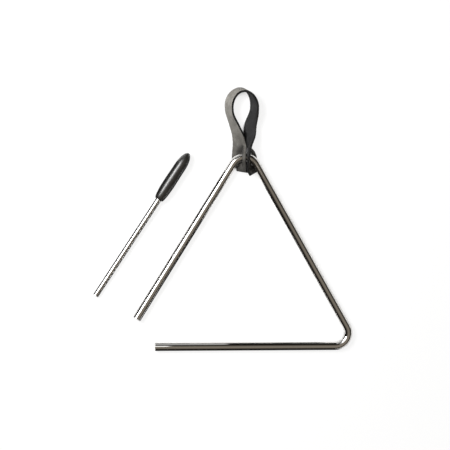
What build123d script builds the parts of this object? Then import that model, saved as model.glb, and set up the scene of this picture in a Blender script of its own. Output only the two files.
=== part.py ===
from build123d import *
from collections import namedtuple
from math import asin, atan, cos, degrees, radians, sin, sqrt, tan
import os

os.makedirs("parts", exist_ok=True)

# Bar: one round rod bent at the apex and at the right corner, open at the left corner.
# Its sides run between the corners of the rod's axis, before the bends are rounded, and the
# left leg stops short of the base by the open corner.
bar_diameter = 7.2
right_side = 200.0
base_side = 175.8
open_corner = 24.2
apex_angle = 61.0
corner_angle = 61.2
bend_radius = 11.5
bar_end_chamfer = 0.5

# Strap: one leather strip, slit near both ends, with the bar through the slits.
# Its loop leans to the right, so its upper edge lies to the right of its lower edge.
strap_width = 12.0
strap_thickness = 1.5
strap_clearance = 0.8
floor_gap = 0.15
slit_kerf = 0.4
slit_slack = 2.2
slit_inside = 4.6
slit_outside = 8.0
tab_length = 4.5
tab_gap = 2.2
under_clear = 3.2
left_under_reach = 1.7
right_under_reach = 2.6
right_turn_reach = -0.7
left_tab_aside = -4.6
left_over_aside = -2.9
left_head_aside = -6.5
left_strand_aside = -10.6
right_over_aside = 2.9
right_head_aside = 3.0
right_strand_aside = 3.4
strand_reach = 27.0
seat_angle = 9.0
loop_radius = 10.9
loop_aside = -4.0
loop_reach = 47.2
loop_tilt = 55.0
loop_heading = -27.0
loop_dip = 12.0
loop_steps = 8

# Beater: a thin rod in a moulded grip, lying beside the left leg.
beater_length = 147.8
beater_diameter = 5.0
beater_tip_chamfer = 0.4
beater_heading = 56.4
beater_left_of_leg = 35.6
beater_beyond_leg = 20.4
grip_length = 47.8
grip_bore_depth = 36.0
grip_press = 0.1
spigot_diameter = 4.4
grip_rim_diameter = 6.7
grip_belly_diameter = 10.8
grip_belly_at = 17.0
grip_shoulder_diameter = 10.4
grip_shoulder_at = 34.0
grip_bead_diameter = 1.2
grip_bead_setback = 0.2
grip_bead_proud = 0.3
grip_seam_at = 21.5
grip_seam_width = 0.4
grip_seam_depth = 0.15

bar_radius = bar_diameter / 2
beater_radius = beater_diameter / 2
half_width = strap_width / 2
slit_half = half_width - slit_kerf / 2


def polar(reach, angle):
    """Step in plan of a given length, its angle counted from +X."""
    return Vector(reach * cos(radians(angle)), reach * sin(radians(angle)))


def rising(tilt, heading):
    """Unit step that climbs at a tilt while it heads along a plan angle."""
    return Vector(1, 0, 0).rotate(Axis.Y, -tilt).rotate(Axis.Z, heading)


# Corners of the bar's axis, measured from its right corner.
right_corner = Vector(0, 0)
apex = polar(right_side, 180 - corner_angle)
left_side = (apex.Y - open_corner) / sin(radians(corner_angle + apex_angle))
leg_end = apex + polar(left_side, -corner_angle - apex_angle)
base_end = Vector(-base_side, 0)

# The strap sits a little to the right of the apex bend's top, and its lower half lifts the
# bar there, while the base lies on the floor.
bend_depth = bend_radius / sin(radians(apex_angle / 2))
bend_centre = apex + polar(bend_depth, -corner_angle - apex_angle / 2)
seat = bend_centre + polar(bend_radius, 90 - seat_angle)
seat_height = bar_radius + strap_thickness + strap_clearance
bar_tilt = degrees(asin((seat_height - bar_radius) / seat.Y))

# Footprint of the whole set, whose middle stands over the origin.
beater_tip = leg_end + Vector(-beater_left_of_leg, beater_beyond_leg)
reach_right = bend_radius + bar_radius - bend_radius / tan(radians(corner_angle / 2))
reach_left = beater_tip.X - beater_radius * sin(radians(beater_heading))
reach_near = -bar_radius
loop_edge = loop_reach - half_width * rising(loop_tilt, loop_heading).Y
reach_far = seat.Y + loop_edge + loop_radius + strap_thickness / 2
footprint_middle = Vector((reach_left + reach_right) / 2, (reach_near + reach_far) / 2)

bar_plane = Plane(
    origin=Vector(0, 0, bar_radius) - footprint_middle,
    x_dir=(1, 0, 0),
    z_dir=Vector(0, 0, 1).rotate(Axis.X, bar_tilt),
)

with BuildPart() as triangle_bar:
    with BuildLine(bar_plane) as bar_axis:
        corners = [tuple(corner) for corner in (base_end, right_corner, apex, leg_end)]
        FilletPolyline(corners, radius=bend_radius)
    with BuildSketch(Plane(origin=bar_axis.line @ 0, z_dir=bar_axis.line % 0)):
        Circle(bar_radius)
    sweep(path=bar_axis.line)
    free_ends = triangle_bar.faces().filter_by(GeomType.PLANE)
    chamfer(free_ends.edges(), bar_end_chamfer)
triangle_bar.part.label = "triangle_bar"
export_step(triangle_bar.part, "parts/triangle_bar.step")

# A station is a cut across the strap. Its point is in plan from the seat, its tilt and
# heading say how the strip's width rises there, and its run is the way that the strip goes.
Station = namedtuple("Station", "point tilt heading run")
strap_floor = bar_plane.from_local_coords(seat) - Vector(0, 0, seat_height)


def cut_across(edge, station, width):
    """Section of the strip, over a width that starts at one of its long edges."""
    across = rising(station.tilt, station.heading)
    run = polar(1, station.run)
    normal = run - across * across.dot(run)
    with BuildSketch(Plane(origin=strap_floor + edge, x_dir=across, z_dir=normal)) as section:
        Rectangle(width, strap_thickness, align=(Align.MIN, Align.CENTER))
    return section.sketch


def lower_edge(station):
    """Lower edge, on the floor, of the strip whose middle passes the station's point."""
    across = rising(station.tilt, station.heading) * half_width
    return Vector(station.point.X - across.X, station.point.Y - across.Y, strap_thickness / 2)


def full_strip(stations):
    return [cut_across(lower_edge(station), station, strap_width) for station in stations]


def half_below(foot, under, head):
    """Sections of the half that lies on the floor and passes under the bar."""
    stations = (foot, *under, head)
    edges = (lower_edge(foot), *(station.point for station in under), lower_edge(head))
    return [cut_across(*pair, slit_half) for pair in zip(edges, stations)]


def upper_edge(station):
    """Edge of the slit on the upper half, at one end of the slit."""
    return lower_edge(station) + rising(station.tilt, station.heading) * (half_width + slit_kerf / 2)


def half_above(foot, over, head):
    """Sections of the half that passes over the bar."""
    edges = (upper_edge(foot), over.point, upper_edge(head))
    return [cut_across(*pair, slit_half) for pair in zip(edges, (foot, over, head))]


def around(beyond, angle):
    """Point in plan from the seat, at an angle about the apex bend, beyond the bar's axis."""
    return polar(bend_radius + beyond, angle) - polar(bend_radius, 90 - seat_angle)


on_floor = Vector(0, 0, strap_thickness / 2 + floor_gap)
over_bar = Vector(0, 0, seat_height + bar_radius + slit_slack)
inside = -bar_radius - slit_inside
outside = bar_radius + slit_outside

left_foot = Station(Vector(left_tab_aside, inside), 42, -13, 98)
left_end = Station(left_foot.point + polar(tab_length, -82), 46, -13, 98)
left_under = (
    Station(around(left_under_reach, 135) + on_floor, 0, 0, 92),
    Station(around(bar_radius + under_clear, 121) + on_floor, 8, 0, 92),
)
left_over = Station(Vector(left_over_aside, 0) + over_bar, 75, 0, 90)
left_head = Station(Vector(left_head_aside, outside), 26, 0, 90)

right_foot = Station(around(-bar_radius - tab_gap, seat_angle), 124, 31, -60)
right_end = Station(right_foot.point + polar(tab_length, -60), 124, 31, -60)
right_under = (
    Station(around(right_turn_reach, 30) + on_floor, 166, 5, -70),
    Station(around(right_under_reach, 39) + on_floor, 180, -20, -80),
    Station(around(bar_radius + under_clear, 64) + on_floor, 138, -5, -72),
)
right_over = Station(Vector(right_over_aside, 0) + over_bar, 97, 0, -90)
right_head = Station(Vector(right_head_aside, outside), 72, 0, -90)

left_strand = Station(Vector(left_strand_aside, strand_reach), 47, -13, 105)
right_strand = Station(Vector(right_strand_aside, strand_reach), 44, -10, -105)

loop = [left_head, left_strand]
for step in range(loop_steps + 1):
    angle = 180 + loop_dip - step / loop_steps * (180 + 2 * loop_dip)
    point = Vector(loop_aside, loop_reach) + polar(loop_radius, angle)
    loop.append(Station(point, loop_tilt, loop_heading, angle - 90))
loop += [right_strand, right_head]

with BuildPart() as strap:
    for start in range(0, len(loop) - 2, 2):
        loft(full_strip(loop[start : start + 3]))
    loft(full_strip([left_end, left_foot]))
    loft(half_below(left_foot, left_under, left_head))
    loft(half_above(left_foot, left_over, left_head))
    loft(full_strip([right_end, right_foot]))
    loft(half_below(right_foot, right_under, right_head))
    loft(half_above(right_foot, right_over, right_head))
strap.part.label = "strap"
export_step(strap.part, "parts/strap.step")

# The beater lies on its tip and on its grip's swelling, which is half an ellipse, so its
# slope is that of the line that touches both.
grip_start = beater_length - grip_length
rim_step = (grip_rim_diameter - beater_diameter) / 2
swell = (grip_belly_diameter - grip_rim_diameter) / 2
belly_reach = grip_start + grip_belly_at
spare = belly_reach**2 - grip_belly_at**2
root = sqrt((belly_reach * rim_step) ** 2 + spare * (swell**2 - rim_step**2))
beater_tilt = degrees(atan((belly_reach * rim_step + root) / spare))

beater_plane = Plane(
    origin=beater_tip - footprint_middle + Vector(0, 0, beater_radius * cos(radians(beater_tilt))),
    x_dir=rising(beater_tilt, beater_heading),
    z_dir=polar(1, beater_heading - 90),
)
beater_axis = Axis(beater_plane.origin, beater_plane.x_dir)

with BuildPart() as beater_rod:
    with BuildSketch(Plane(origin=beater_plane.origin, z_dir=beater_plane.x_dir)):
        Circle(beater_radius)
    extrude(amount=grip_start)
    with BuildSketch(Plane(origin=beater_plane.origin, z_dir=beater_plane.x_dir)):
        Circle(spigot_diameter / 2)
    extrude(amount=grip_start + grip_bore_depth)
    tip = beater_rod.faces().sort_by(beater_axis)[0]
    chamfer(tip.edges(), beater_tip_chamfer)
beater_rod.part.label = "beater_rod"
export_step(beater_rod.part, "parts/beater_rod.step")

with BuildPart() as beater_grip:
    with BuildSketch(beater_plane):
        with BuildLine():
            bore = (spigot_diameter - grip_press) / 2
            rim = grip_rim_diameter / 2
            shoulder = grip_shoulder_diameter / 2
            shoulder_at = grip_start + grip_shoulder_at
            nose_length = grip_length - grip_shoulder_at
            bore_end = grip_start + grip_bore_depth
            Line((grip_start, bore), (grip_start, rim))
            EllipticalCenterArc((belly_reach, rim), grip_belly_at, swell, 90, arc_size=90)
            EllipticalCenterArc((shoulder_at, 0), nose_length, shoulder, 0, arc_size=90)
            Spline(
                (belly_reach, rim + swell), (shoulder_at, shoulder), tangents=((1, 0), (1, 0))
            )
            Polyline((beater_length, 0), (bore_end, 0), (bore_end, bore), (grip_start, bore))
        make_face()
    revolve(axis=beater_axis)
    # The moulded sleeve has a rolled bead round its rim and a fine parting line past its belly.
    with BuildSketch(beater_plane):
        bead_radius = grip_bead_diameter / 2
        bead_at = grip_start + grip_bead_setback + bead_radius
        with Locations((bead_at, rim + grip_bead_proud - bead_radius)):
            Circle(bead_radius)
    revolve(axis=beater_axis)
    with BuildSketch(beater_plane):
        with Locations((grip_start + grip_seam_at, rim + swell)):
            Rectangle(grip_seam_width, 2 * grip_seam_depth)
    revolve(axis=beater_axis, mode=Mode.SUBTRACT)
beater_grip.part.label = "beater_grip"
export_step(beater_grip.part, "parts/beater_grip.step")
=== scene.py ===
from math import cos, radians, sin

import bpy
import numpy as np
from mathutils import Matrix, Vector


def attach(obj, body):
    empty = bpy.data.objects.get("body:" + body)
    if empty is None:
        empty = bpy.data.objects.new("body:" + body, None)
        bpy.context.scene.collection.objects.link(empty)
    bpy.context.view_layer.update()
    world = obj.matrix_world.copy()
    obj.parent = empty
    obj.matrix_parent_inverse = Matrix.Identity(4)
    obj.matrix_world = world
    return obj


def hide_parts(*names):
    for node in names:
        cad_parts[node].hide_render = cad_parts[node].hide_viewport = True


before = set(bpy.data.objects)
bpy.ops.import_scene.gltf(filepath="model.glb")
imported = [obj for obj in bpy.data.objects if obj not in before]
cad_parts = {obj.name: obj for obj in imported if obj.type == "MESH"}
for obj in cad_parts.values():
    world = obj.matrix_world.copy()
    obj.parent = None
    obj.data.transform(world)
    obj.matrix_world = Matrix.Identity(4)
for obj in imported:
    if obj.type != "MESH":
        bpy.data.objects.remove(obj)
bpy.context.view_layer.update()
MM = 0.001

# ---------------------------------------------------------------- small helpers


def deselect_all():
    if bpy.context.mode != "OBJECT":
        bpy.ops.object.mode_set(mode="OBJECT")
    bpy.ops.object.select_all(action="DESELECT")


def make_active(piece):
    deselect_all()
    piece.select_set(True)
    bpy.context.view_layer.objects.active = piece


def apply_modifier(piece, kind, **settings):
    make_active(piece)
    modifier = piece.modifiers.new(kind.lower(), kind)
    for name, value in settings.items():
        setattr(modifier, name, value)
    bpy.ops.object.modifier_apply(modifier=modifier.name)


# ---------------------------------------------------------------- the strap's lie
# Sizes in millimetres, in plan from the seat where the strap crosses the bar.
SEAT = (21.5295, 53.5633)
BEND_RADIUS = 11.5
SEAT_TURN = 81.0
STRAP_WIDTH = 12.0
STRAP_THICKNESS = 1.9
SLIT_KERF = 0.4
TAB = 4.5
# Share of the strip's width that passes under the bar, at each slit.
LEFT_SHARE = 0.72
RIGHT_SHARE = 0.32
EDGE_HEIGHT = STRAP_THICKNESS / 2
FLOOR_GAP = 0.15
OVER_BAR = 11.3
# The loop stands on its lower edge and leans over, as tilt and heading. Its crown leans less.
LOOP_CENTRE = (-3.9, 43.8)
LOOP_RADIUS = 11.1
LOOP_RISE = 14.8
LOOP_LEAN = (55, -27)
CROWN_LEAN = (9.5, -12)
CROWN_ASIDE = 0.6
LOOP_DIP = 12
LOOP_STEPS = 8


def rising(tilt, heading):
    t, h = radians(tilt), radians(heading)
    return np.array((cos(t) * cos(h), cos(t) * sin(h), sin(t)))


def around(beyond, angle):
    """Point in plan at an angle about the apex bend, beyond the bar's axis."""
    reach = BEND_RADIUS + beyond
    return (
        reach * cos(radians(angle)) - BEND_RADIUS * cos(radians(SEAT_TURN)),
        reach * sin(radians(angle)) - BEND_RADIUS * sin(radians(SEAT_TURN)),
    )


def step(x, y, length, angle):
    return x + length * cos(radians(angle)), y + length * sin(radians(angle))


def whole(x, y, tilt, heading):
    """Lower and upper edge where the strip is whole, from its middle in plan."""
    across = rising(tilt, heading)
    low = np.array((x, y, 0)) - across * STRAP_WIDTH / 2
    low[2] = EDGE_HEIGHT
    return low, low + across * STRAP_WIDTH


def below(place, tilt, heading, share):
    """Both edges of the part that lies on the floor under the bar."""
    low = np.array((*place, EDGE_HEIGHT + FLOOR_GAP))
    return low, low + rising(tilt, heading) * (STRAP_WIDTH * share - SLIT_KERF / 2)


def above(x, tilt, heading, share):
    """Both edges of the part that passes over the bar."""
    low = np.array((x, 0, OVER_BAR))
    return low, low + rising(tilt, heading) * (STRAP_WIDTH * (1 - share) - SLIT_KERF / 2)


def loop_stations():
    """Edges round the loop, from the left strand over the crown to the right strand."""
    found = []
    for turn in range(LOOP_STEPS + 1):
        angle = radians(180 + LOOP_DIP - turn / LOOP_STEPS * (180 + 2 * LOOP_DIP))
        crown = max(sin(angle), 0) ** 2
        x = LOOP_CENTRE[0] + LOOP_RADIUS * cos(angle) + CROWN_ASIDE * crown
        y = LOOP_CENTRE[1] + LOOP_RISE * sin(angle)
        tilt, heading = (lean + more * crown for lean, more in zip(LOOP_LEAN, CROWN_LEAN))
        found.append(whole(x, y, tilt, heading))
    return found


LEFT_FOOT = (-4.6, -8.2)
RIGHT_FOOT = around(-5.8, 9)
left_tab = [whole(*step(*LEFT_FOOT, TAB, -82), 46, -13), whole(*LEFT_FOOT, 42, -13)]
left_below = [
    below(around(3.2, 138), 0, 0, LEFT_SHARE),
    below(around(7.8, 123.6), 3, 0, LEFT_SHARE),
]
left_above = [above(-3.6, 24, 0, LEFT_SHARE)]
middle_run = [
    whole(-6.0, 10.5, 14, 0),
    whole(-7.0, 18.5, 34, -6),
    whole(-10.2, 27.5, 47, -13),
    *loop_stations(),
    whole(3.5, 27.5, 36, -10),
    whole(2.8, 18.5, 42, -5),
    whole(2.2, 10.5, 70, 0),
]
right_above = [above(1.0, 83, 0, RIGHT_SHARE)]
right_below = [
    below(around(6.8, 64), 138, -5, RIGHT_SHARE),
    below(around(2.6, 39), 180, -20, RIGHT_SHARE),
    below(around(-0.7, 30), 166, 5, RIGHT_SHARE),
]
right_tab = [whole(*RIGHT_FOOT, 124, 31), whole(*step(*RIGHT_FOOT, TAB, -60), 124, 31)]


def slopes(knots, points):
    """Slope at each knot of a smooth line through uneven points."""
    steps = np.diff(points, axis=0) / np.diff(knots)[:, None]
    out = np.empty_like(points)
    out[0], out[-1] = steps[0], steps[-1]
    for i in range(1, len(knots) - 1):
        before, after = knots[i] - knots[i - 1], knots[i + 1] - knots[i]
        out[i] = (steps[i - 1] * after + steps[i] * before) / (before + after)
    return out


def along(knots, points, tangents, at):
    """Points on the smooth line at the given lengths along the strip."""
    i = np.clip(np.searchsorted(knots, at, side="right") - 1, 0, len(knots) - 2)
    span = (knots[i + 1] - knots[i])[:, None]
    t = (at - knots[i])[:, None] / span
    return (
        points[i] * (2 * t**3 - 3 * t**2 + 1)
        + tangents[i] * span * (t**3 - 2 * t**2 + t)
        + points[i + 1] * (3 * t**2 - 2 * t**3)
        + tangents[i + 1] * span * (t**3 - t**2)
    )


def slit_line(low, high, share):
    return low + (high - low) * share


def centre_steps(stations):
    middles = np.array([(low + high) / 2 for low, high in stations])
    return np.linalg.norm(np.diff(middles, axis=0), axis=1)


def placed(start, end, stations):
    """Lengths along the strip for stations inside a slit, by their own spacing."""
    steps = np.cumsum(centre_steps(stations))
    return start + (end - start) * steps[:-1] / steps[-1]


class Rails:
    """The strip's four long edges: outer ones, and both sides of each slit."""

    def __init__(self):
        slit_left = [left_tab[1], *left_above, middle_run[0]]
        slit_right = [middle_run[-1], *right_above, right_tab[0]]
        under_left = [left_tab[1], *left_below, middle_run[0]]
        under_right = [middle_run[-1], *right_below, right_tab[0]]
        head = TAB + np.sum(centre_steps(under_left))
        middle_knots = [head, *(head + np.cumsum(centre_steps(middle_run)))]
        right_head = middle_knots[-1]
        right_foot = right_head + np.sum(centre_steps(under_right))
        self.slits = ((TAB, head), (right_head, right_foot))
        self.length = right_foot + TAB

        def knots(left, right):
            return np.array(
                [
                    0.0,
                    TAB,
                    *placed(TAB, head, left),
                    *middle_knots,
                    *placed(right_head, right_foot, right),
                    right_foot,
                    self.length,
                ]
            )

        low = [*left_tab, *left_below, *middle_run, *right_below, *right_tab]
        high = [*left_tab, *left_above, *middle_run, *right_above, *right_tab]
        self.low_knots = knots(under_left, under_right)
        self.high_knots = knots(slit_left, slit_right)
        self.low = np.array([station[0] for station in low])
        self.high = np.array([station[1] for station in high])
        self.low_slopes = slopes(self.low_knots, self.low)
        self.high_slopes = slopes(self.high_knots, self.high)
        self.below_inner = [self.inner(under_left, 0, 1), self.inner(under_right, 1, 1)]
        self.above_inner = [self.inner(slit_left, 0, 0), self.inner(slit_right, 1, 0)]

    def outer(self, at):
        low = along(self.low_knots, self.low, self.low_slopes, at)
        high = along(self.high_knots, self.high, self.high_slopes, at)
        return low, high

    def slope_at(self, at, share):
        reach = 0.05
        before = slit_line(*self.outer(np.array([at - reach])), share)
        after = slit_line(*self.outer(np.array([at + reach])), share)
        return (after - before)[0] / 2 / reach

    def inner(self, stations, side, edge):
        """One side of a slit, leaving the whole strip at both of its ends."""
        start, end = self.slits[side]
        share = (LEFT_SHARE, RIGHT_SHARE)[side]
        knots = np.array([start, *placed(start, end, stations), end])
        points = [slit_line(*stations[0], share)]
        points += [station[edge] for station in stations[1:-1]]
        points.append(slit_line(*stations[-1], share))
        points = np.array(points)
        tangents = slopes(knots, points)
        tangents[0], tangents[-1] = self.slope_at(start, share), self.slope_at(end, share)
        return knots, points, tangents


# ---------------------------------------------------------------- the strap
# Faces along and across the flat strip that is laid round the bar.
COLUMNS, ROWS = 240, 16
EDGE_ROUND = 0.3


def strap_columns(rails):
    """Length along the strip at each column, and the columns where the slits end."""
    lengths = [0.0, *rails.slits[0], *rails.slits[1], rails.length]
    marks = [round(length / rails.length * COLUMNS) for length in lengths]
    return np.interp(np.arange(COLUMNS + 1), marks, lengths), marks


def ragged(at, phase):
    """Small unevenness of a hand-cut edge, in millimetres."""
    return 0.07 * np.sin(1.9 * at + phase) + 0.05 * np.sin(4.7 * at + 2 * phase)


def flat_strip(faces):
    deselect_all()
    bpy.ops.mesh.primitive_grid_add(
        x_subdivisions=COLUMNS, y_subdivisions=ROWS, size=1.0, calc_uvs=True
    )
    strap = bpy.context.active_object
    strap.name = strap.data.name = "leather_strap"
    for material in faces:
        strap.data.materials.append(material)
    return strap


def on_grid(mesh):
    """Each point's place on the flat strip, with its column and row."""
    flat = np.array([vertex.co for vertex in mesh.vertices])
    column = np.rint((flat[:, 0] + 0.5) * COLUMNS).astype(int)
    row = np.rint((flat[:, 1] + 0.5) * ROWS).astype(int)
    return flat, column, row


def cut_slits(strap, marks):
    """Part the strip along its middle row, inside both slits."""
    mesh = strap.data
    _, column, row = on_grid(mesh)
    make_active(strap)
    bpy.ops.object.mode_set(mode="EDIT")
    bpy.ops.mesh.select_mode(type="EDGE")
    bpy.ops.mesh.select_all(action="DESELECT")
    bpy.ops.object.mode_set(mode="OBJECT")
    for edge in mesh.edges:
        a, b = edge.vertices
        on_middle = row[a] == row[b] == ROWS // 2
        first, last = sorted((column[a], column[b]))
        in_slit = any(marks[i] <= first and last <= marks[i + 1] for i in (1, 3))
        edge.select = bool(on_middle and in_slit)
    bpy.ops.object.mode_set(mode="EDIT")
    bpy.ops.mesh.edge_split(type="EDGE")
    bpy.ops.object.mode_set(mode="OBJECT")


def lay_strip(strap, rails, lengths):
    """Bring the flat strip's points to their places round the bar."""
    mesh = strap.data
    flat, column, _ = on_grid(mesh)
    beside = np.zeros(len(flat))
    for face in mesh.polygons:
        for index in face.vertices:
            beside[index] += face.center[1]
    upper = np.where(np.abs(flat[:, 1]) < 1e-6, beside > 0, flat[:, 1] > 0)

    at = lengths[column]
    low, high = rails.outer(at)
    outward = (high - low) / np.linalg.norm(high - low, axis=1)[:, None]
    low = low - outward * ragged(at, 0.4)[:, None]
    high = high + outward * ragged(at, 1.7)[:, None]
    heads = (rails.slits[0][1], rails.slits[1][0])
    share = np.interp(at, heads, (LEFT_SHARE, RIGHT_SHARE))
    middle_low = slit_line(low, high, share[:, None])
    middle_high = middle_low.copy()
    for side, (start, end) in enumerate(rails.slits):
        inside = (at > start + 1e-6) & (at < end - 1e-6)
        middle_low[inside] = along(*rails.below_inner[side], at[inside])
        middle_high[inside] = along(*rails.above_inner[side], at[inside])
    halves = (flat[:, 1] + 0.5) * 2
    place = np.where(
        upper[:, None],
        middle_high + (high - middle_high) * (halves - 1)[:, None],
        low + (middle_low - low) * halves[:, None],
    )
    place[:, 0] += SEAT[0]
    place[:, 1] += SEAT[1]
    mesh.vertices.foreach_set("co", (place * MM).astype(np.float32).ravel())
    mesh.update()


def make_strap(rails, faces):
    """The leather strip, with its flesh side, grain side and cut edges as faces."""
    lengths, marks = strap_columns(rails)
    strap = flat_strip(faces)
    cut_slits(strap, marks)
    lay_strip(strap, rails, lengths)
    apply_modifier(
        strap,
        "SOLIDIFY",
        thickness=STRAP_THICKNESS * MM,
        offset=0.0,
        use_even_offset=True,
        material_offset=1,
        material_offset_rim=2,
    )
    apply_modifier(
        strap,
        "BEVEL",
        width=EDGE_ROUND * MM,
        segments=2,
        limit_method="ANGLE",
        angle_limit=radians(50),
        material=2,
    )
    apply_modifier(strap, "SUBSURF", levels=1, render_levels=1)
    make_active(strap)
    bpy.ops.object.shade_smooth()
    return strap


# ---------------------------------------------------------------- materials


class Nodes:
    """Short way to place and join the nodes of one tree."""

    def __init__(self, tree):
        self.tree = tree

    def add(self, kind, inputs=None, **settings):
        node = self.tree.nodes.new(kind)
        for name, value in settings.items():
            setattr(node, name, value)
        for name, value in (inputs or {}).items():
            self.feed(node.inputs[name], value)
        return node

    def feed(self, socket, value):
        if isinstance(value, bpy.types.NodeSocket):
            self.tree.links.new(value, socket)
        else:
            socket.default_value = value

    def math(self, operation, a, b):
        node = self.add("ShaderNodeMath", operation=operation)
        self.feed(node.inputs[0], a)
        self.feed(node.inputs[1], b)
        return node.outputs[0]

    def span(self, value, low, high, to_low, to_high):
        """Value brought from one range to another, and kept inside it."""
        ranges = {"From Min": low, "From Max": high, "To Min": to_low, "To Max": to_high}
        return self.add("ShaderNodeMapRange", {"Value": value, **ranges}).outputs[0]

    def mix(self, factor, a, b, blend="MIX"):
        node = self.add("ShaderNodeMix", data_type="RGBA", blend_type=blend)
        self.feed(node.inputs["Factor"], factor)
        self.feed(node.inputs["A"], a)
        self.feed(node.inputs["B"], b)
        return node.outputs["Result"]

    def noise(self, vector, scale, detail, rough):
        inputs = {"Vector": vector, "Scale": scale, "Detail": detail, "Roughness": rough}
        return self.add("ShaderNodeTexNoise", inputs).outputs["Fac"]

    def object_place(self):
        return self.add("ShaderNodeTexCoord").outputs["Object"]

    def group(self, tree, **inputs):
        """One shared effect, set to its own values in this material."""
        node = self.add("ShaderNodeGroup", node_tree=tree)
        for label, value in inputs.items():
            self.feed(node.inputs[label.replace("_", " ")], value)
        return node.outputs

    def bump(self, height, strength, distance):
        inputs = {"Height": height, "Strength": strength, "Distance": distance}
        return self.add("ShaderNodeBump", inputs).outputs["Normal"]


def new_group(name, inputs, outputs):
    tree = bpy.data.node_groups.new(name, "ShaderNodeTree")
    tree.interface.new_socket("Vector", in_out="INPUT", socket_type="NodeSocketVector")
    for label, value in inputs.items():
        socket = tree.interface.new_socket(
            label, in_out="INPUT", socket_type="NodeSocketFloat"
        )
        socket.default_value = value
    for label in outputs:
        tree.interface.new_socket(label, in_out="OUTPUT", socket_type="NodeSocketFloat")
    nodes = Nodes(tree)
    start = nodes.add("NodeGroupInput")
    end = nodes.add("NodeGroupOutput")
    return tree, nodes, start.outputs, end.inputs


def handling_marks():
    """Smudges, dust specks and a faint waviness on a polished surface."""
    tree, nodes, given, out = new_group(
        "handling_marks",
        {"Smudge Scale": 60.0, "Speck Scale": 900.0},
        ("Smudge", "Speck", "Height"),
    )
    broad = nodes.noise(given["Vector"], given["Smudge Scale"], 3.0, 0.5)
    fine = nodes.noise(given["Vector"], given["Speck Scale"], 2.0, 0.6)
    waves = nodes.math("MULTIPLY", broad, 0.6)
    nodes.feed(out["Smudge"], nodes.span(broad, 0.42, 0.66, 0.0, 1.0))
    nodes.feed(out["Speck"], nodes.span(fine, 0.68, 0.74, 0.0, 1.0))
    nodes.feed(out["Height"], nodes.math("ADD", waves, nodes.math("MULTIPLY", fine, 0.05)))
    return tree


def leather_grain():
    """Pebbled cells with creases between them, and soft blotches of tone."""
    tree, nodes, given, out = new_group(
        "leather_grain",
        {"Cell Scale": 1100.0, "Streak Scale": 160.0},
        ("Height", "Crease", "Tone"),
    )
    warp = nodes.add(
        "ShaderNodeTexNoise", {"Vector": given["Vector"], "Scale": 400.0, "Detail": 2.0}
    )
    bent = nodes.add("ShaderNodeVectorMath", operation="MULTIPLY_ADD")
    nodes.feed(bent.inputs[0], warp.outputs["Color"])
    bent.inputs[1].default_value = (0.0012, 0.0012, 0.0012)
    nodes.feed(bent.inputs[2], given["Vector"])
    cells = nodes.add(
        "ShaderNodeTexVoronoi",
        {"Vector": bent.outputs[0], "Scale": given["Cell Scale"]},
        feature="DISTANCE_TO_EDGE",
    )
    crease = nodes.span(cells.outputs["Distance"], 0.0, 0.16, 1.0, 0.0)
    pores = nodes.math("MULTIPLY", nodes.noise(bent.outputs[0], 2600.0, 3.0, 0.6), 0.4)
    tone = nodes.noise(given["Vector"], given["Streak Scale"], 5.0, 0.6)
    nodes.feed(
        out["Height"], nodes.math("SUBTRACT", pores, nodes.math("MULTIPLY", crease, 0.6))
    )
    nodes.feed(out["Crease"], crease)
    nodes.feed(out["Tone"], tone)
    return tree


MARKS = handling_marks()
GRAIN = leather_grain()
# The grain's tone mostly stays between these levels.
TONE_LOW, TONE_HIGH = 0.3, 0.7


def new_material(name, **shader_values):
    material = bpy.data.materials.new(name)
    material.use_nodes = True
    nodes = Nodes(material.node_tree)
    shader = material.node_tree.nodes["Principled BSDF"]
    for label, value in shader_values.items():
        shader.inputs[label.replace("_", " ")].default_value = value
    return material, nodes, shader.inputs


def set_ramp(ramp, stops, tint=(1, 1, 1)):
    for i, (place, level) in enumerate(stops):
        stop = ramp.elements[i] if i < 2 else ramp.elements.new(place)
        stop.position = place
        stop.color = (*(level * part for part in tint), 1)


def chrome(name, tint, smudge_scale):
    """Polished plating, a little duller where it is smudged or dusty."""
    material, nodes, shader = new_material(name, Metallic=1.0)
    marks = nodes.group(MARKS, Vector=nodes.object_place(), Smudge_Scale=smudge_scale)
    dusty = (tint[0] * 0.75, tint[1] * 0.74, tint[2] * 0.72, 1)
    nodes.feed(shader["Base Color"], nodes.mix(marks["Speck"], (*tint, 1), dusty))
    smudged = nodes.span(marks["Smudge"], 0.0, 1.0, 0.035, 0.075)
    dust = nodes.math("MULTIPLY", marks["Speck"], 0.1)
    nodes.feed(shader["Roughness"], nodes.math("ADD", smudged, dust))
    nodes.feed(shader["Normal"], nodes.bump(marks["Height"], 0.06, 0.0004))
    return material


# The beater's run, from its tip to the parting line of its grip, in metres.
BEATER_HEADING = 56.4
BEATER_AXIS = Vector((0.553216, 0.832658, 0.025156))
BEATER_TIP = Vector((-0.110326, -0.065792, 0.0025))
SEAM_FROM_TIP = 0.1215
SEAM_REACH = BEATER_AXIS.dot(BEATER_TIP) + SEAM_FROM_TIP


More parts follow.
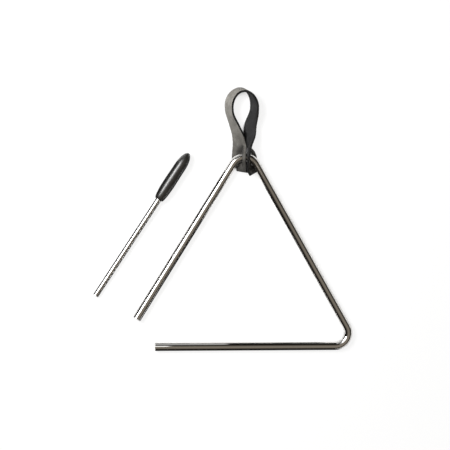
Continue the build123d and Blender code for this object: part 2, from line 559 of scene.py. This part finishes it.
def moulded_grip():
    """Black plastic, rougher and drawn into streaks on the rod's side of its parting line."""
    material, nodes, shader = new_material(
        "glossy_black_grip", IOR=1.5, Coat_Weight=1.0, Coat_IOR=1.8, Coat_Roughness=0.33
    )
    where = nodes.object_place()
    marks = nodes.group(MARKS, Vector=where, Smudge_Scale=90.0)
    colour = nodes.mix(marks["Smudge"], (0.012, 0.012, 0.011, 1), (0.02, 0.02, 0.018, 1))
    nodes.feed(shader["Base Color"], colour)
    reach = nodes.add("ShaderNodeVectorMath", operation="DOT_PRODUCT")
    nodes.feed(reach.inputs[0], where)
    reach.inputs[1].default_value = BEATER_AXIS
    rod_side = nodes.span(reach.outputs["Value"], SEAM_REACH, SEAM_REACH - 0.0005, 0.0, 1.0)
    smudged = nodes.span(marks["Smudge"], 0.0, 1.0, 0.24, 0.3)
    duller = nodes.math("MULTIPLY", rod_side, 0.06)
    nodes.feed(shader["Roughness"], nodes.math("ADD", smudged, duller))
    turned = nodes.add("ShaderNodeMapping", {"Vector": where})
    turned.inputs["Rotation"].default_value = (0, 0, radians(-BEATER_HEADING))
    turned.inputs["Scale"].default_value = (0.12, 1, 1)
    drawn = nodes.noise(turned.outputs["Vector"], 1500.0, 3.0, 0.6)
    streaks = nodes.math("MULTIPLY", nodes.math("MULTIPLY", drawn, rod_side), 1.5)
    height = nodes.math("ADD", marks["Height"], streaks)
    nodes.feed(shader["Normal"], nodes.bump(height, 0.15, 0.0004))
    return material


# How far the painted shade at a fold reaches along and across the strip, as shares of it, and
# how dark it gets at its middle.
FOLD_SHADE_REACH = (0.05, 0.3)
FOLD_SHADE_LEVEL = 0.25


def with_painted_shade(nodes, colour, tone, painted_shade_along, fold_shade_at):
    """Colour with painted shade along the strip, from pairs of place and level, and painted
    shade around a fold.
    """
    uv = nodes.add("ShaderNodeTexCoord").outputs["UV"]
    place = nodes.add("ShaderNodeSeparateXYZ", {"Vector": uv}).outputs
    uneven = nodes.span(tone, TONE_LOW, TONE_HIGH, -1.0, 1.0)
    blotch = nodes.math("MULTIPLY", uneven, 0.03)
    # Painted shade along the strip: the colour is multiplied by the ramp's level at each
    # place.
    level = nodes.add("ShaderNodeValToRGB")
    nodes.feed(level.inputs["Fac"], nodes.math("ADD", place["X"], blotch))
    set_ramp(level.color_ramp, painted_shade_along)
    colour = nodes.mix(1.0, colour, level.outputs["Color"], "MULTIPLY")
    # Painted shade at a fold: darkest at its middle, fading out over its reach.
    apart = nodes.math("MULTIPLY", blotch, 6.0)
    for axis, middle, reach in zip("XY", fold_shade_at, FOLD_SHADE_REACH):
        offset = nodes.math("DIVIDE", nodes.math("SUBTRACT", place[axis], middle), reach)
        apart = nodes.math("ADD", apart, nodes.math("POWER", offset, 2.0))
    return nodes.mix(1.0, colour, nodes.span(apart, 0.0, 1.0, FOLD_SHADE_LEVEL, 1.0), "MULTIPLY")


def leather(name, dark, light, rough, cell_scale, bump_strength, painted_shade_along=(), fold_shade_at=(0, 0)):
    """One face of the leather.

    Painted shade along the strip gives its tone, as pairs of place and level. Painted
    shade at a fold darkens it around one place, given along and across the strip.
    """
    material, nodes, shader = new_material(name, IOR=1.5)
    grain = nodes.group(GRAIN, Vector=nodes.object_place(), Cell_Scale=cell_scale)
    tone = nodes.span(grain["Tone"], TONE_LOW, TONE_HIGH, 0.0, 1.0)
    colour = nodes.mix(tone, (*dark, 1), (*light, 1))
    # Painted shade: the colour is darkened towards half the dark tone in the creases between
    # the grain's cells.
    crease = nodes.math("MULTIPLY", grain["Crease"], 0.5)
    colour = nodes.mix(crease, colour, (*(part * 0.5 for part in dark), 1))
    if painted_shade_along:
        colour = with_painted_shade(nodes, colour, grain["Tone"], painted_shade_along, fold_shade_at)
    nodes.feed(shader["Base Color"], colour)
    roughness = nodes.span(grain["Tone"], TONE_LOW, TONE_HIGH, rough - 0.06, rough + 0.06)
    nodes.feed(shader["Roughness"], roughness)
    nodes.feed(shader["Normal"], nodes.bump(grain["Height"], bump_strength, 0.0003))
    return material


# ---------------------------------------------------------------- the object

rails = Rails()
left_head = rails.slits[0][1] / rails.length
right_head = rails.slits[1][0] / rails.length
# Painted shade on the grain side: lightest round the loop, darker towards both tabs, where
# the strip lies under the bar.
grain_painted_shade = (
    (0.0, 0.12),
    (1.0, 0.12),
    (left_head * 0.5, 0.42),
    (left_head, 0.6),
    (left_head + 0.1, 0.72),
    (left_head + 0.25, 1.0),
    (right_head, 0.4),
)
# Painted shade where the left part folds down under the bar, just before the left slit's
# head.
grain_fold_shade_at = (left_head - 0.035, 0.45)
flesh_side = leather(
    "leather_flesh", (0.022, 0.022, 0.023), (0.05, 0.05, 0.051), 0.75, 1900.0, 0.5
)
grain_side = leather(
    "leather_grain_side",
    (0.25, 0.238, 0.216),
    (0.4, 0.384, 0.35),
    0.55,
    1100.0,
    0.5,
    grain_painted_shade,
    grain_fold_shade_at,
)
cut_edge = leather(
    "leather_cut_edge", (0.005, 0.005, 0.005), (0.012, 0.012, 0.012), 0.6, 2400.0, 0.6
)
strap = make_strap(rails, (flesh_side, grain_side, cut_edge))
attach(strap, "strap")
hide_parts("strap")

finishes = {
    "triangle_bar": chrome("bar_chrome", (0.86, 0.85, 0.83), 45.0),
    "beater_rod": chrome("beater_chrome", (0.86, 0.855, 0.84), 70.0),
    "beater_grip": moulded_grip(),
}
for node, material in finishes.items():
    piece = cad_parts[node]
    piece.data.materials.clear()
    piece.data.materials.append(material)

# ---------------------------------------------------------------- table and backdrop
TABLE_SIZE = 12.0
CONTACT_REACH = 0.012


def table_finish():
    """White table, which stays white in view and keeps the shadows under the pieces."""
    material = bpy.data.materials.new("white_table")
    material.use_nodes = True
    material.node_tree.nodes.clear()
    nodes = Nodes(material.node_tree)
    ray = nodes.add("ShaderNodeLightPath").outputs
    seen = nodes.math("MAXIMUM", ray["Is Camera Ray"], ray["Is Transmission Ray"])
    colour = nodes.mix(seen, (0.8, 0.8, 0.8, 1), (0.2, 0.2, 0.2, 1))
    shade = nodes.add("ShaderNodeBsdfDiffuse", {"Color": colour})
    # Painted shade: the glow seen in view is dimmed where the table is closed in, in narrow
    # gaps and pockets between the pieces.
    enclosed = nodes.add("ShaderNodeAmbientOcclusion", {"Distance": CONTACT_REACH})
    open_table = nodes.span(enclosed.outputs["AO"], 0.15, 0.45, 0.0, 0.87)
    in_view = nodes.math("MULTIPLY", seen, open_table)
    in_metal = nodes.math("MULTIPLY", ray["Is Glossy Ray"], 0.2)
    strength = nodes.math("ADD", in_view, in_metal)
    glow = nodes.add("ShaderNodeEmission", {"Color": (1, 1, 1, 1), "Strength": strength})
    lit = nodes.add("ShaderNodeAddShader")
    nodes.feed(lit.inputs[0], shade.outputs[0])
    nodes.feed(lit.inputs[1], glow.outputs[0])
    nodes.add("ShaderNodeOutputMaterial", {"Surface": lit.outputs[0]})
    return material


deselect_all()
bpy.ops.mesh.primitive_grid_add(x_subdivisions=2, y_subdivisions=2, size=TABLE_SIZE)
table = bpy.context.active_object
table.name = "white_table"
table.data.materials.append(table_finish())

# ---------------------------------------------------------------- light


def toward(azimuth, elevation, distance):
    a, e = radians(azimuth), radians(elevation)
    return Vector((cos(a) * cos(e), sin(a) * cos(e), sin(e))) * distance


def panel(name, centre, turn, width, height, power):
    """Soft rectangular light, which the camera itself doesn't see."""
    light = bpy.data.lights.new(name, "AREA")
    light.shape = "RECTANGLE"
    light.size, light.size_y = width, height
    light.energy = power
    lamp = bpy.data.objects.new(name, light)
    bpy.context.scene.collection.objects.link(lamp)
    lamp.location = centre
    lamp.rotation_euler = turn
    lamp.visible_camera = False
    return lamp


def aimed_panel(name, azimuth, elevation, distance, width, height, power):
    """Panel out in one direction, turned to face the object."""
    place = toward(azimuth, elevation, distance)
    turn = (-place).to_track_quat("-Z", "Y").to_euler()
    return panel(name, place, turn, width, height, power)


aimed_panel("softbox", 150, 54, 1.0, 0.45, 0.66, 1.4)
aimed_panel("softbox_tube", 150, 54, 0.98, 0.45, 0.3, 4.0)
fill_lamp = aimed_panel("fill_lamp", 152, 57, 1.0, 0.3, 0.3, 3.7)
fill_lamp.visible_glossy = False
panel("overhead_scrim", (-0.29, 0.2, 1.15), (0, 0, 0), 0.41, 0.5, 0.7)
panel("white_board", (-0.445, 1.0, 0.45), (radians(-90), 0, 0), 0.9, 0.9, 1.0)
aimed_panel("side_board", 29, 7, 1.2, 1.0, 0.28, 0.7)

# Black cards on the table, seen only in the reflections of the metal and the grip: painted
# shade, darkening the table where the metal reflects it.
CARD_HEIGHT = 0.3
LEG_END = (-74.73, -86.19)
LEG_HEADING = 57.8


def beside_leg(run, out):
    """Plan point by its run along the left leg from its end, and its distance out of it."""
    return step(*step(*LEG_END, run, LEG_HEADING), out, LEG_HEADING + 90)


def reflected_shade_card(name, corners):
    deselect_all()
    bpy.ops.mesh.primitive_plane_add(size=1.0)
    card = bpy.context.active_object
    card.name = name
    for vertex, (x, y) in zip(card.data.vertices, corners):
        vertex.co = (x * MM, y * MM, CARD_HEIGHT * MM)
    card.visible_camera = card.visible_diffuse = card.visible_shadow = False
    card.data.materials.append(reflected_shade_black)


# Painted shade in reflections: the near-black, matte finish of these cards.
reflected_shade_black, _, card_shader = new_material("reflected_shade_card", Roughness=1.0, Specular_IOR_Level=0.0)
card_shader["Base Color"].default_value = (0.01, 0.01, 0.01, 1)
cards_beside_leg = {
    "card_inside": ((-18, 0), (118, 0), (20, -40), (85, -40)),
    "card_between": ((-12, 10), (150, 10), (-12, 40), (150, 37)),
    "card_beyond": ((-40, 48), (135, 46), (-120, 900), (300, 900)),
}
for name, corners in cards_beside_leg.items():
    reflected_shade_card(name, [beside_leg(run, out) for run, out in corners])
reflected_shade_card("card_heart", ((-24, -88), (90, -101), (8, 22), (32, 22)))
reflected_shade_card("card_below", ((-140, -1200), (180, -1200), (-60, -111), (104, -111)))

# The room is dark low down and warm and dim overhead, around one direction.
ROOM_TINT = (1.1, 0.97, 0.8)
ROOM_LEVELS = (
    (0.2, 0.008),
    (1.0, 0.21),
    (0.45, 0.012),
    (0.64, 0.03),
    (0.77, 0.08),
    (0.86, 0.13),
    (0.92, 0.175),
)
world = bpy.data.worlds.new("studio_room")
bpy.context.scene.world = world
world.use_nodes = True
room = Nodes(world.node_tree)
overhead = room.add("ShaderNodeVectorMath", operation="DOT_PRODUCT")
room.feed(overhead.inputs[0], room.add("ShaderNodeTexCoord").outputs["Generated"])
overhead.inputs[1].default_value = toward(-55, 66, 1.0)
ceiling = room.add("ShaderNodeValToRGB", {"Fac": overhead.outputs["Value"]})
set_ramp(ceiling.color_ramp, ROOM_LEVELS, ROOM_TINT)
room.feed(world.node_tree.nodes["Background"].inputs["Color"], ceiling.outputs["Color"])

# ---------------------------------------------------------------- camera
CAMERA_HEIGHT = 1.5
BAR_HEIGHT = 0.005
VIEW_WIDTH = 0.39017
SENSOR_WIDTH = 36.0
camera_data = bpy.data.cameras.new("camera")
camera = bpy.data.objects.new("camera", camera_data)
bpy.context.scene.collection.objects.link(camera)
bpy.context.scene.camera = camera
camera.location = (0.00243, -0.00501, CAMERA_HEIGHT + BAR_HEIGHT)
camera.rotation_euler = (0, 0, radians(-0.324))
camera_data.sensor_width = SENSOR_WIDTH
camera_data.lens = SENSOR_WIDTH * CAMERA_HEIGHT / VIEW_WIDTH
camera_data.dof.use_dof = False

bpy.context.scene.view_settings.view_transform = "Standard"
